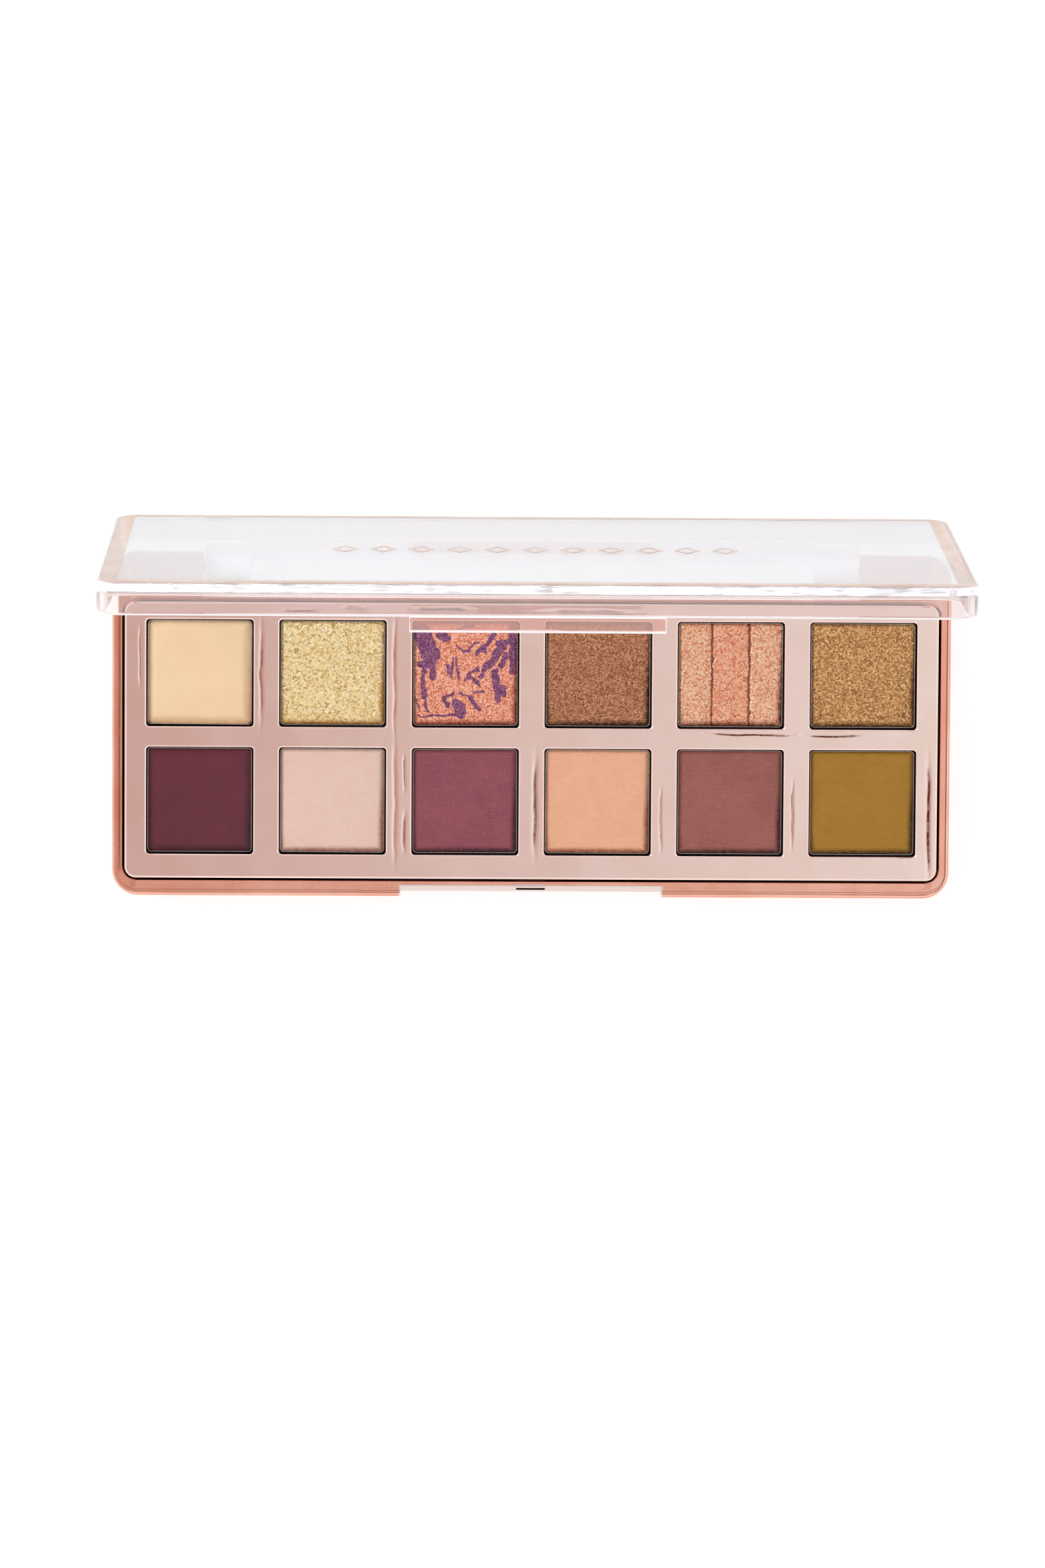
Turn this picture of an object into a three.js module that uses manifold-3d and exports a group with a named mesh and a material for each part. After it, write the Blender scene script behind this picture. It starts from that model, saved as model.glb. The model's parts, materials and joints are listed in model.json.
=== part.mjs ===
// A slim eyeshadow palette: a metallised casing and insert, twelve pans with pressed cakes,
// and a clear lid that stands open on two steel pins.
// Millimetres, +Z up. X runs along the palette and +Y points to the hinge.
// The origin is the middle of the flat underside.
import * as THREE from "three";
import { mergeVertices } from "three/addons/utils/BufferGeometryUtils.js";
import Module from "manifold-3d";

// ---- driving dimensions ----

// casing
const CASING_WIDTH = 159.4;
const CASING_DEPTH = 64;
const CASING_CORNER = 5;
const SHOULDER_Z = 8.4;
const CASING_FLOOR = 1.5;
const CASING_EDGE = 1.3;
const BACK_WALL = 0.9;

// insert and its windows
const INSERT = { x0: -77.25, x1: 77.25, y0: -28.55, y1: 24.2 };
const INSERT_CORNER = 2.1;
const INSERT_TOP_Z = 8.9;
const INSERT_PLATE = 1.3;
const INSERT_GAP = 0.4;
const WINDOW = 20.35;
const WINDOW_CORNER = 0.65;
const WINDOW_LIP = 0.25;
const COLUMNS = 6;
const ROWS = 2;
const COLUMN_PITCH = 25.2;
const ROW_PITCH = 24.24;
const GRID_Y = -1.7;
const WELL_WALL = 0.9;

// pans, cakes and the glue under them
const PAN = 19.8;
const PAN_CORNER = 0.75;
const PAN_SHEET = 0.2;
const PAN_HEIGHT = 3;
const PAN_RIM_Z = 8.05;
const PAN_SHIFT = { x: -0.05, y: 0.1 };
const CAKE_GAP = 0.05;
const CAKE_CROWN = 0.2;
const CAKE_BEVEL = 0.45;
const GLUE_HEIGHT = 0.4;
const GLUE_RADIUS = 4;

// hinge
const AXIS_Z = 3.5;
const AXIS_INSET = 3.05;
const BAY_HALF = 62.4;
const PIN_RADIUS = 0.75;
const PIN_BORE = 0.9;
const LUG_BORE = 1.1;
const LUG_RADIUS = 2.75;
const LUG_LENGTH = 8.5;
const EAR_ROUND = 5;

// lid, measured from the hinge axis: "reach" runs to the free edge and "rise" to the panel
const LID_OPEN_DEG = 79.3;
const LID_HALF_WIDTH = 79.25;
const LID_CORNER = 4.6;
const LID_REACH = 60.75;
const LID_BACK = 2.9;
const LID_RIM = 5.1;
const LID_TOP = 11.05;
const LID_PANEL = 1.8;
const LID_WALL = 1.4;
const RUNNING_GAP = 0.3;

// catch at the front
const RECESS_HALF = 24.85;
const TAB_HALF = 23;
const TAB_DROP = 2.8;
const TAB_THICK = 1.2;
const CATCH_HALF = 4.1;
const BEAD_HALF = 2.4;
const SLOT_HALF = 2.75;

// ---- worked out from the driving dimensions ----

const CASING = {
  x0: -CASING_WIDTH / 2,
  x1: CASING_WIDTH / 2,
  y0: -CASING_DEPTH / 2,
  y1: CASING_DEPTH / 2,
};
const AXIS_Y = CASING.y1 - AXIS_INSET;
const POCKET = grow(INSERT, INSERT_GAP);
const BAY_Y = POCKET.y1 + BACK_WALL;
const PAN_FLOOR_Z = PAN_RIM_Z - PAN_HEIGHT;
const WELL_FLOOR_Z = PAN_FLOOR_Z - GLUE_HEIGHT;
const INSERT_BASE_Z = WELL_FLOOR_Z - WELL_WALL;
const FAR = 200;

const ROSE_GOLD = { color: 0xd9a08c, roughness: 0.12, metalness: 1 };
const CLEAR_PLASTIC = { color: 0xf4f6fa, roughness: 0.03, metalness: 0, transparent: true, opacity: 0.3 };
const TINPLATE = { color: 0xc4c3c0, roughness: 0.3, metalness: 1 };
const STEEL = { color: 0xb5b8bc, roughness: 0.25, metalness: 1 };
const HOT_MELT = { color: 0xe9dfc4, roughness: 0.6, metalness: 0 };
const PAPER = { color: 0xf3efe9, roughness: 0.85, metalness: 0 };

// name, colour, roughness and metalness of each cake, back row first, left to right
const CAKES = [
  ["cream_beige", 0xf3d3ab, 0.55, 0],
  ["gold_glitter", 0xd8c18c, 0.35, 0.6],
  ["marbled_plum_peach", 0xc08272, 0.4, 0.3],
  ["bronze_shimmer", 0x9c6a4a, 0.4, 0.5],
  ["three_stripe_copper", 0xd9a183, 0.4, 0.4],
  ["antique_gold", 0xa98048, 0.35, 0.6],
  ["burgundy_cream", 0x6a303c, 0.3, 0],
  ["pale_pink", 0xe5c3ae, 0.85, 0],
  ["plum_sparkle", 0x8d4a58, 0.8, 0],
  ["peach_matte", 0xe5ab82, 0.85, 0],
  ["mauve_brown", 0x8a5350, 0.85, 0],
  ["olive_mustard", 0xa27a2e, 0.85, 0],
];

// ---- shapes ----

const wasm = await Module();
wasm.setup();

function grow(box, by) {
  return { x0: box.x0 - by, x1: box.x1 + by, y0: box.y0 - by, y1: box.y1 + by };
}

function square(side, x, y) {
  return { x0: x - side / 2, x1: x + side / 2, y0: y - side / 2, y1: y + side / 2 };
}

/** The outline of a rectangle with round corners, anticlockwise. */
function roundedRect(box, radius, steps) {
  const quarter = Math.PI / 2;
  const shape = new THREE.Shape();
  shape.absarc(box.x1 - radius, box.y0 + radius, radius, -quarter, 0);
  shape.absarc(box.x1 - radius, box.y1 - radius, radius, 0, quarter);
  shape.absarc(box.x0 + radius, box.y1 - radius, radius, quarter, 2 * quarter);
  shape.absarc(box.x0 + radius, box.y0 + radius, radius, 2 * quarter, 3 * quarter);
  return shape.getPoints(steps / 2);
}

/** A closed solid through outlines of equal length. Its first outline is its underside. */
function loft(levels) {
  const count = levels[0].outline.length;
  const positions = levels.flatMap(({ outline, z }) => outline.flatMap((p) => [p.x, p.y, z]));
  const index = [];
  for (let level = 0; level < levels.length - 1; level += 1) {
    for (let i = 0; i < count; i += 1) {
      const a = level * count + i;
      const b = level * count + ((i + 1) % count);
      index.push(a, b, b + count, a, b + count, a + count);
    }
  }
  const last = (levels.length - 1) * count;
  for (const [a, b, c] of THREE.ShapeUtils.triangulateShape(levels[0].outline, [])) {
    index.push(a, c, b);
  }
  for (const [a, b, c] of THREE.ShapeUtils.triangulateShape(levels.at(-1).outline, [])) {
    index.push(last + a, last + b, last + c);
  }
  const geometry = new THREE.BufferGeometry();
  geometry.setAttribute("position", new THREE.Float32BufferAttribute(positions, 3));
  geometry.setIndex(index);
  return geometry;
}

/** A round-cornered solid whose walls follow a profile of [inset, z] steps. */
function turnedIn(box, radius, profile, steps = 4) {
  const levels = profile.map(([inset, z]) => {
    return { z, outline: roundedRect(grow(box, -inset), radius - inset, steps) };
  });
  return loft(levels);
}

/** [inset, z] steps of a rounded edge, from the upright wall to the flat face. */
function roundedEdge(width, zWall, zFace, steps = 3) {
  return Array.from({ length: steps + 1 }, (_, i) => {
    const angle = (i / steps) * (Math.PI / 2);
    return [width * (1 - Math.cos(angle)), zWall + (zFace - zWall) * Math.sin(angle)];
  });
}

/** A prism along X whose section is a shape drawn in Y and Z. */
function prismX(shape, x0, x1) {
  const along = new THREE.Matrix4().makeBasis(
    new THREE.Vector3(0, 1, 0),
    new THREE.Vector3(0, 0, 1),
    new THREE.Vector3(1, 0, 0),
  );
  const geometry = new THREE.ExtrudeGeometry(shape, { depth: x1 - x0, bevelEnabled: false, curveSegments: 5 });
  return geometry.applyMatrix4(along).translate(x0, 0, 0);
}

function polygonX(points, x0, x1) {
  return prismX(new THREE.Shape(points.map(([y, z]) => new THREE.Vector2(y, z))), x0, x1);
}

function block(x0, x1, y0, y1, z0, z1) {
  const geometry = new THREE.BoxGeometry(x1 - x0, y1 - y0, z1 - z0);
  return geometry.translate((x0 + x1) / 2, (y0 + y1) / 2, (z0 + z1) / 2);
}

/** A round bar along X about the line at y and z. */
function barX(radius, x0, x1, y, z, sides) {
  const geometry = new THREE.CylinderGeometry(radius, radius, x1 - x0, sides);
  return geometry.rotateZ(-Math.PI / 2).translate((x0 + x1) / 2, y, z);
}

// ---- booleans ----

function solid(geometry) {
  const bare = new THREE.BufferGeometry();
  bare.setAttribute("position", geometry.getAttribute("position"));
  bare.setIndex(geometry.getIndex());
  const merged = mergeVertices(bare, 1e-4);
  const mesh = new wasm.Mesh({
    numProp: 3,
    vertProperties: Float32Array.from(merged.attributes.position.array),
    triVerts: Uint32Array.from(merged.index.array),
  });
  return new wasm.Manifold(mesh);
}

function combine(first, added, removed) {
  const joined = added.reduce((sum, part) => sum.add(solid(part)), solid(first));
  const cut = removed.reduce((rest, part) => rest.subtract(solid(part)), joined);
  const { vertProperties, triVerts } = cut.getMesh();
  const geometry = new THREE.BufferGeometry();
  geometry.setAttribute("position", new THREE.BufferAttribute(vertProperties, 3));
  geometry.setIndex(new THREE.BufferAttribute(triVerts, 1));
  return geometry;
}

function piece(name, geometry, look) {
  geometry.computeVertexNormals();
  const mesh = new THREE.Mesh(geometry, new THREE.MeshStandardMaterial(look));
  mesh.name = name;
  return mesh;
}

// ---- base ----

/** The casing: a rounded shell with a pocket for the insert, a hinge bay and a thumb recess. */
function casing() {
  const bottomEdge = 1.2;
  const body = turnedIn(CASING, CASING_CORNER, [
    ...roundedEdge(bottomEdge, bottomEdge, 0).reverse(),
    ...roundedEdge(CASING_EDGE, SHOULDER_Z - 1.1, SHOULDER_Z),
  ], 6);
  const ribHalf = 0.6;
  const longRibs = rowCentres().map((y) => {
    return block(-74, 74, y - ribHalf, y + ribHalf, CASING_FLOOR / 2, INSERT_BASE_Z);
  });
  const crossRibs = columnCentres().map((x) => {
    return block(x - ribHalf, x + ribHalf, -26, 22, CASING_FLOOR / 2, INSERT_BASE_Z);
  });
  return combine(cutCasing(body), [...longRibs, ...crossRibs], []);
}

function cutCasing(body) {
  const pocket = turnedIn(POCKET, INSERT_CORNER + INSERT_GAP, [[0, CASING_FLOOR], [0, SHOULDER_Z + 1]], 6);
  const bay = block(-BAY_HALF, BAY_HALF, BAY_Y, FAR, -1, SHOULDER_Z + 1);
  const bores = [-1, 1].map((side) => {
    const ends = [side * (BAY_HALF - 1), side * FAR].sort((a, b) => a - b);
    return barX(PIN_BORE, ends[0], ends[1], AXIS_Y, AXIS_Z, 12);
  });
  return combine(body, [], [pocket, bay, ...bores, earRounding(), ...thumbRecess(), labelRecess()]);
}

/** What is taken off the ears' back edge, a round about the hinge axis that the lid's wall clears. */
function earRounding() {
  const rise = SHOULDER_Z - AXIS_Z;
  const start = Math.acos(rise / EAR_ROUND);
  const end = 1.1;
  const shape = new THREE.Shape();
  shape.moveTo(AXIS_Y + EAR_ROUND * Math.sin(start), SHOULDER_Z + 1);
  shape.absarc(AXIS_Y, AXIS_Z, EAR_ROUND, Math.PI / 2 - start, Math.PI / 2 - end, true);
  shape.lineTo(AXIS_Y + EAR_ROUND * Math.sin(end), SHOULDER_Z + 1);
  return prismX(shape, -FAR, FAR);
}

/** The recess under the lid's tab, with the catch slot and the ramp that leads into it. */
function thumbRecess() {
  const front = CASING.y0;
  const face = [
    [front - 1, SHOULDER_Z + 1],
    [front - 1, -1],
    [front + 0.85, -1],
    [front + 0.85, 4.6],
    [front + 1.8, 5.3],
    [front + 2.2, SHOULDER_Z + 1],
  ];
  const ramp = [
    [front, 5.7],
    [front + 2.6, 5.7],
    [front + 2.6, SHOULDER_Z + 1],
    [front, SHOULDER_Z + 1],
  ];
  const slot = block(-SLOT_HALF, SLOT_HALF, front, POCKET.y0 + 1, 5.7, 6.9);
  return [polygonX(face, -RECESS_HALF, RECESS_HALF), polygonX(ramp, -SLOT_HALF, SLOT_HALF), slot];
}

const LABEL = { x0: 12, x1: 70, y0: -22, y1: 18 };
const LABEL_RECESS = 0.25;
const LABEL_THICK = 0.12;

function labelRecess() {
  return turnedIn(grow(LABEL, 0.5), 2, [[0, -1], [0, LABEL_RECESS]], 2);
}

function label() {
  return turnedIn(LABEL, 1.5, [[0, LABEL_RECESS - LABEL_THICK], [0, LABEL_RECESS]], 2);
}

function columnCentres() {
  return Array.from({ length: COLUMNS }, (_, i) => (i - (COLUMNS - 1) / 2) * COLUMN_PITCH);
}

function rowCentres() {
  return Array.from({ length: ROWS }, (_, i) => GRID_Y + ((ROWS - 1) / 2 - i) * ROW_PITCH);
}

/** The window centres, back row first, left to right. */
function windowCentres() {
  return rowCentres().flatMap((y) => columnCentres().map((x) => ({ x, y })));
}

/** The insert: a thin plate with a skirt, and a well under each window. */
function insert() {
  const underside = INSERT_TOP_Z - INSERT_PLATE;
  const edge = 0.35;
  const plate = turnedIn(INSERT, INSERT_CORNER, [
    [0, underside],
    ...roundedEdge(edge, INSERT_TOP_Z - edge, INSERT_TOP_Z, 2),
  ]);
  const skirtThick = 1;
  const skirtZ = underside - 2;
  const skirt = turnedIn(INSERT, INSERT_CORNER, [
    [skirtThick, skirtZ],
    [0, skirtZ],
    [0, underside + 0.1],
    [skirtThick, underside + 0.1],
  ]);
  const opening = turnedIn(grow(INSERT, -skirtThick), INSERT_CORNER - skirtThick, [
    [0, skirtZ - 1],
    [0, underside],
  ]);
  const wells = windowCentres().map(({ x, y }) => {
    const outside = square(WINDOW + 2 * WELL_WALL, x, y);
    return turnedIn(outside, WINDOW_CORNER + WELL_WALL, [[0, INSERT_BASE_Z], [0, underside + 0.1]], 2);
  });
  const windows = windowCentres().map(({ x, y }) => {
    return turnedIn(grow(square(WINDOW, x, y), WINDOW_LIP), WINDOW_CORNER + WINDOW_LIP, [
      [WINDOW_LIP, WELL_FLOOR_Z],
      [WINDOW_LIP, INSERT_TOP_Z - WINDOW_LIP],
      [0, INSERT_TOP_Z],
      [0, INSERT_TOP_Z + 1],
    ], 2);
  });
  const hollow = combine(skirt, [], [opening]);
  return combine(plate, [hollow, ...wells], windows);
}

/** A pan: a square cup of thin sheet. */
function pan(x, y) {
  const foot = 0.35;
  return turnedIn(square(PAN, x, y), PAN_CORNER, [
    [foot, PAN_FLOOR_Z],
    [0, PAN_FLOOR_Z + foot],
    [0, PAN_RIM_Z],
    [PAN_SHEET, PAN_RIM_Z],
    [PAN_SHEET + 0.2, PAN_FLOOR_Z + PAN_SHEET],
  ], 2);
}

/** A cake: a pressed block with a bevelled top edge that stands a little proud of its pan. */
function cake(x, y) {
  const side = PAN - 2 * (PAN_SHEET + CAKE_GAP);
  return turnedIn(square(side, x, y), PAN_CORNER - PAN_SHEET, [
    [0.25, PAN_FLOOR_Z + PAN_SHEET],
    [0, PAN_RIM_Z - 0.1],
    [CAKE_BEVEL, PAN_RIM_Z + CAKE_CROWN],
  ], 2);
}

function glueDot(x, y) {
  const disc = new THREE.CylinderGeometry(GLUE_RADIUS, GLUE_RADIUS, GLUE_HEIGHT, 12);
  return disc.rotateX(Math.PI / 2).translate(x, y, WELL_FLOOR_Z + GLUE_HEIGHT / 2);
}

/** A pin from the side of an ear into the lid's lug. */
function hingePin(side) {
  const outer = side * (CASING_WIDTH / 2 - 1);
  const inner = side * (BAY_HALF - 7.5);
  return barX(PIN_RADIUS, Math.min(outer, inner), Math.max(outer, inner), AXIS_Y, AXIS_Z, 12);
}

// ---- lid, drawn closed about the hinge axis ----

/** The lid: a shallow clear tray with a tab and catch bead in front and two lugs behind. */
function lid() {
  const outline = { x0: -LID_HALF_WIDTH, x1: LID_HALF_WIDTH, y0: -LID_REACH, y1: LID_BACK };
  const ceiling = LID_TOP - LID_PANEL;
  const tray = turnedIn(outline, LID_CORNER, [
    [LID_WALL, LID_RIM],
    [0.4, LID_RIM],
    [0, LID_RIM + 0.5],
    [0, LID_TOP - 0.5],
    [0.5, LID_TOP],
  ], 6);
  const inside = turnedIn(outline, LID_CORNER, [
    [LID_WALL, LID_RIM - 1],
    [LID_WALL, ceiling - 0.6],
    [LID_WALL + 0.6, ceiling],
  ], 6);
  const shell = combine(tray, [], [inside]);
  const bores = [-1, 1].map((side) => {
    return barX(LUG_BORE, side * BAY_HALF - 8, side * BAY_HALF + 8, 0, 0, 12);
  });
  const lugs = [-1, 1].flatMap((side) => lug(side));
  return combine(shell, [web(), ...lugs, ...tab()], bores);
}

/** The wall that hangs into the hinge bay, between the lugs. */
function web() {
  const half = BAY_HALF - RUNNING_GAP - LUG_LENGTH / 2;
  return block(-half, half, LID_BACK - LID_WALL, LID_BACK, 1.1, LID_RIM + 1);
}

function lug(side) {
  const outer = side * (BAY_HALF - RUNNING_GAP);
  const inner = outer - side * LUG_LENGTH;
  const x0 = Math.min(outer, inner);
  const x1 = Math.max(outer, inner);
  const body = block(x0, x1, -1.6, LID_BACK - 0.2, 0, LID_TOP - LID_PANEL + 0.4);
  return [barX(LUG_RADIUS, x0, x1, 0, 0, 20), body];
}

/** The front tab, its thicker catch block and the bead that clips into the casing's slot. */
function tab() {
  const face = -LID_REACH + 0.1;
  const foot = LID_RIM - TAB_DROP;
  const skirt = [
    [face, LID_RIM + 1.2],
    [face, foot + 0.3],
    [face + 0.3, foot],
    [face + TAB_THICK, foot],
    [face + TAB_THICK, LID_RIM + 1.2],
  ];
  const catchBlock = [
    [face + TAB_THICK - 0.2, foot],
    [face + TAB_THICK + 0.3, foot],
    [face + TAB_THICK + 0.3, LID_RIM + 1.2],
    [face + TAB_THICK - 0.2, LID_RIM + 1.2],
  ];
  const bead = [
    [face + TAB_THICK, foot + 0.1],
    [face + TAB_THICK + 0.6, foot + 0.45],
    [face + TAB_THICK, foot + 0.8],
  ];
  return [
    polygonX(skirt, -TAB_HALF, TAB_HALF),
    polygonX(catchBlock, -CATCH_HALF, CATCH_HALF),
    polygonX(bead, -BEAD_HALF, BEAD_HALF),
  ];
}

// ---- assembly ----

function build() {
  const palette = new THREE.Group();
  palette.add(piece("base_casing", casing(), ROSE_GOLD));
  palette.add(piece("insert_frame", insert(), ROSE_GOLD));
  windowCentres().forEach(({ x, y }, i) => {
    const number = String(i + 1).padStart(2, "0");
    const [shade, color, roughness, metalness] = CAKES[i];
    const px = x + PAN_SHIFT.x;
    const py = y + PAN_SHIFT.y;
    palette.add(piece(`pan_${number}`, pan(px, py), TINPLATE));
    palette.add(piece(`cake_${number}_${shade}`, cake(px, py), { color, roughness, metalness }));
    palette.add(piece(`pan_glue_${number}`, glueDot(px, py), HOT_MELT));
  });
  palette.add(piece("hinge_pin_left", hingePin(-1), STEEL));
  palette.add(piece("hinge_pin_right", hingePin(1), STEEL));
  palette.add(piece("underside_label", label(), PAPER));

  const hinge = new THREE.Group();
  hinge.position.set(0, AXIS_Y, AXIS_Z);
  hinge.rotation.x = -THREE.MathUtils.degToRad(LID_OPEN_DEG);
  hinge.add(piece("clear_lid", lid(), CLEAR_PLASTIC));
  palette.add(hinge);
  return palette;
}

export default build();
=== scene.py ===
"""A slim twelve-shade eyeshadow palette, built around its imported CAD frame.

Shapes are drawn in millimetres in the row frame (+X along the palette, +Y to the hinge, +Z up).
The lid is drawn closed about its hinge axis and then turned to its rest angle.
"""

import json
import math

import bmesh
import bpy
import numpy as np
from mathutils import Matrix, Vector


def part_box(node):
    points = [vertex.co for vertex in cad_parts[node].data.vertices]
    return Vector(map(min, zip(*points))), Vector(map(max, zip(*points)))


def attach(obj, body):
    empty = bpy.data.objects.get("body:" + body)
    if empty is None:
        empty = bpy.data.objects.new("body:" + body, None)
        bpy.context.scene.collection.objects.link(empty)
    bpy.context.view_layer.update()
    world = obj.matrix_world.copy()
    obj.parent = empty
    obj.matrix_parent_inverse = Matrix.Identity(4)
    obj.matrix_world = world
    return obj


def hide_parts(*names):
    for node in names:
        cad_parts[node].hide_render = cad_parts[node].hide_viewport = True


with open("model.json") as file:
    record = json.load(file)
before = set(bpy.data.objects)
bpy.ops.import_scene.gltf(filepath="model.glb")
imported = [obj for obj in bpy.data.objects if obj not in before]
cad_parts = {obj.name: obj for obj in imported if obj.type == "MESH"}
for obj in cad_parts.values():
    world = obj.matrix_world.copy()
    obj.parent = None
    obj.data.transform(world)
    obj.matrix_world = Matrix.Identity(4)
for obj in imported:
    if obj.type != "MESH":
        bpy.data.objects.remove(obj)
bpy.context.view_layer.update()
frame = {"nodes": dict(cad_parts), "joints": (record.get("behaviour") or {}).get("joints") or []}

MM = 0.001


def box_mm(node):
    """The lowest and highest corners of a CAD node, in millimetres."""
    low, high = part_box(node)
    return low / MM, high / MM


# ---- sizes, in millimetres, most of them read from the frame ----

CASING_LOW, CASING_HIGH = box_mm("base_casing")
INSERT_LOW, INSERT_HIGH = box_mm("insert_frame")
HINGE = frame["joints"][0]
AXIS = Vector(HINGE["pos_m"]) / MM
REST_ANGLE = math.radians(-HINGE["range_deg"][0])

CASING_CORNER = 5.0
CASING_FOLD = 1.2
SHOULDER_FOLD = (1.3, 1.1)
SHOULDER_FALL = 0.12
CASING_FLOOR = 1.5
INSERT_GAP = 0.4
INSERT_CORNER = 2.1
INSERT_PLATE = 1.3
BACK_WALL = 0.9
BAY_HALF = 62.4
EAR_ROUND = 5.0
RECESS_HALF = 24.85
SLOT_HALF = 2.75
PIN_BORE = 0.9

COLUMN_PITCH = 25.2
ROW_PITCH = 24.24
GRID_Y = -1.7
WINDOW = 20.35
WINDOW_CORNER = 0.65
WINDOW_LIP = 0.26
WELL_WALL = 0.9
WELL_FLOOR = 4.65
PAN_CORNER = 0.75
PAN_RIM = 0.12
CAKE_STEP = 0.16

STRIPE_HALF = 3.55
# how far in from a cake's outline its painted edge shade reaches
EDGE_SHADE_WIDTH = 1.5

# start, end and half width of the strokes of plum in the marbled cake, from its middle
MARBLE_STROKES = [
    (-8.4, 7.6, -6.7, 3.8, 1.9),
    (-8.3, 1.8, -6.4, 1.7, 0.8),
    (-6.2, 2.1, -6.1, -0.5, 0.7),
    (-7.8, 2.0, -8.0, -4.6, 0.5),
    (-4.8, 7.4, -3.7, 6.8, 0.75),
    (-1.7, 5.5, -0.9, 4.4, 0.2),
    (-0.9, 4.4, 0.7, 4.4, 0.24),
    (0.7, 4.4, 2.4, 5.9, 0.22),
    (-1.5, 8.6, 1.5, 8.9, 0.3),
    (5.5, 7.2, 2.2, 3.6, 0.5),
    (7.0, 4.9, 2.9, -0.4, 0.7),
    (9.0, 6.7, 6.2, 5.6, 0.5),
    (8.9, 8.6, 9.2, 0.5, 0.8),
    (7.8, 3.4, 6.5, 1.3, 0.5),
    (-2.5, 3.2, -2.8, -0.5, 0.26),
    (-1.7, 2.9, -1.5, -1.2, 0.26),
    (-3.4, 1.6, -3.2, 0.3, 0.24),
    (-0.1, -1.2, 2.2, 0.8, 0.26),
    (0.9, -0.5, 2.5, -2.0, 0.28),
    (5.5, 0.3, 6.2, -4.8, 0.65),
    (7.0, -2.8, 7.4, -3.9, 0.6),
    (1.4, -3.5, 3.4, -3.3, 0.24),
    (-2.4, -3.5, -3.9, -4.5, 0.3),
    (-3.9, -4.5, -3.4, -6.1, 0.4),
    (-1.7, -5.6, -0.8, -7.7, 1.15),
    (-0.3, -8.1, -9.2, -8.1, 0.22),
    (-0.9, -3.5, 0.9, -4.5, 0.2),
    (0.9, -4.5, 2.8, -6.6, 0.5),
    (-9.2, -4.8, -8.8, -7.1, 0.22),
    (-7.8, -5.5, -6.9, -7.1, 0.28),
]

# how far behind the casing's front the two sides of the catch groove lie
GROOVE_SIDES = (1.12, 1.52)

# x, y, half length, half width, axis it runs along (0 for X, 1 for Y) and how dark the painted
# reflection along each sink mark is
SINK_MARKS = [
    (-51.4, 10.5, 9.0, 0.36, 1, 0.6),
    (-74.3, 13.5, 5.0, 0.24, 1, 0.6),
    (-26.1, 10.0, 10.0, 0.3, 1, 0.3),
    (-26.0, -13.8, 10.5, 0.38, 1, 0.25),
    (-24.2, -8.5, 3.2, 0.24, 1, 0.6),
    (-24.2, -19.5, 3.6, 0.3, 1, 0.6),
    (0.7, -14.5, 9.0, 0.45, 1, 0.8),
    (24.6, -17.0, 5.5, 0.24, 1, 0.25),
    (49.6, -16.0, 6.0, 0.22, 1, 0.35),
    (75.6, -16.8, 11.2, 0.4, 1, 1.0),
    (41.5, -0.8, 8.5, 0.22, 0, 1.0),
    (57.5, -0.9, 5.5, 0.22, 0, 1.0),
    (-44.2, 22.6, 3.4, 0.35, 0, 0.8),
    (-33.8, 23.0, 2.4, 0.5, 0, 0.3),
    (-17.0, 22.9, 5.5, 0.42, 0, 0.7),
    (-15.5, 21.5, 5.8, 0.26, 0, 0.7),
    (11.5, 22.4, 9.0, 0.45, 0, 0.5),
]

LID_HALF = 79.25
LID_CORNER = 4.6
LID_REACH = 60.75
LID_BACK = 2.9
LID_BOX = (-LID_HALF, LID_HALF, -LID_REACH, LID_BACK)
LID_RIM = 5.1
LID_TOP = 11.05
LID_PANEL = 1.8
LID_WALL = 1.4
LUG_RADIUS = 2.75
LUG_LENGTH = 8.5
LUG_BORE = 1.1
RUNNING_GAP = 0.3
TAB_HALF = 23.0
TAB_DROP = 2.8
TAB_THICK = 1.2
CATCH_HALF = 4.1
BEAD_HALF = 2.4
FOIL_LIFT = 0.004
FOIL_THICK = 0.02

# the base of a sink mark's smooth fall
NATURAL_BASE = 2.718

# depth of the fine lines in the plating
HAIRLINE = 0.0005
FAINT_HAIRLINE = 0.00008

NUMBERS = [f"{i:02d}" for i in range(1, 13)]
CAKE_NODES = {n[5:7]: n for n in sorted(frame["nodes"]) if n.startswith("cake_")}


# ---- outlines and meshes ----


def rounded_rect(x0, x1, y0, y1, radius, steps):
    """The outline of a rectangle with round corners, anticlockwise."""
    corners = (
        (x1 - radius, y0 + radius, -90),
        (x1 - radius, y1 - radius, 0),
        (x0 + radius, y1 - radius, 90),
        (x0 + radius, y0 + radius, 180),
    )
    points = []
    for cx, cy, start in corners:
        for i in range(steps + 1):
            angle = math.radians(start + 90 * i / steps)
            points.append((cx + radius * math.cos(angle), cy + radius * math.sin(angle)))
    return points


def ring(box, radius, inset, z, steps):
    """A rounded rectangle drawn in by an inset, at a height."""
    x0, x1, y0, y1 = box
    outline = rounded_rect(x0 + inset, x1 - inset, y0 + inset, y1 - inset, radius - inset, steps)
    return [(x, y, z) for x, y in outline]


def rounding(width, z_wall, z_face, steps):
    """(inset, z) steps of a rounded edge, from the upright wall to the flat face."""
    quarters = [math.pi / 2 * i / steps for i in range(steps + 1)]
    return [(width * (1 - math.cos(a)), z_wall + (z_face - z_wall) * math.sin(a)) for a in quarters]


def chamfer(width, drop, z_face, soft=0.03):
    """(inset, z) steps of a bevelled edge with softened corners, from its foot to the flat face."""
    foot = [(0, z_face - drop - soft), (soft, z_face - drop)]
    return foot + [(width - soft, z_face - soft / 2), (width, z_face)]


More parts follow.
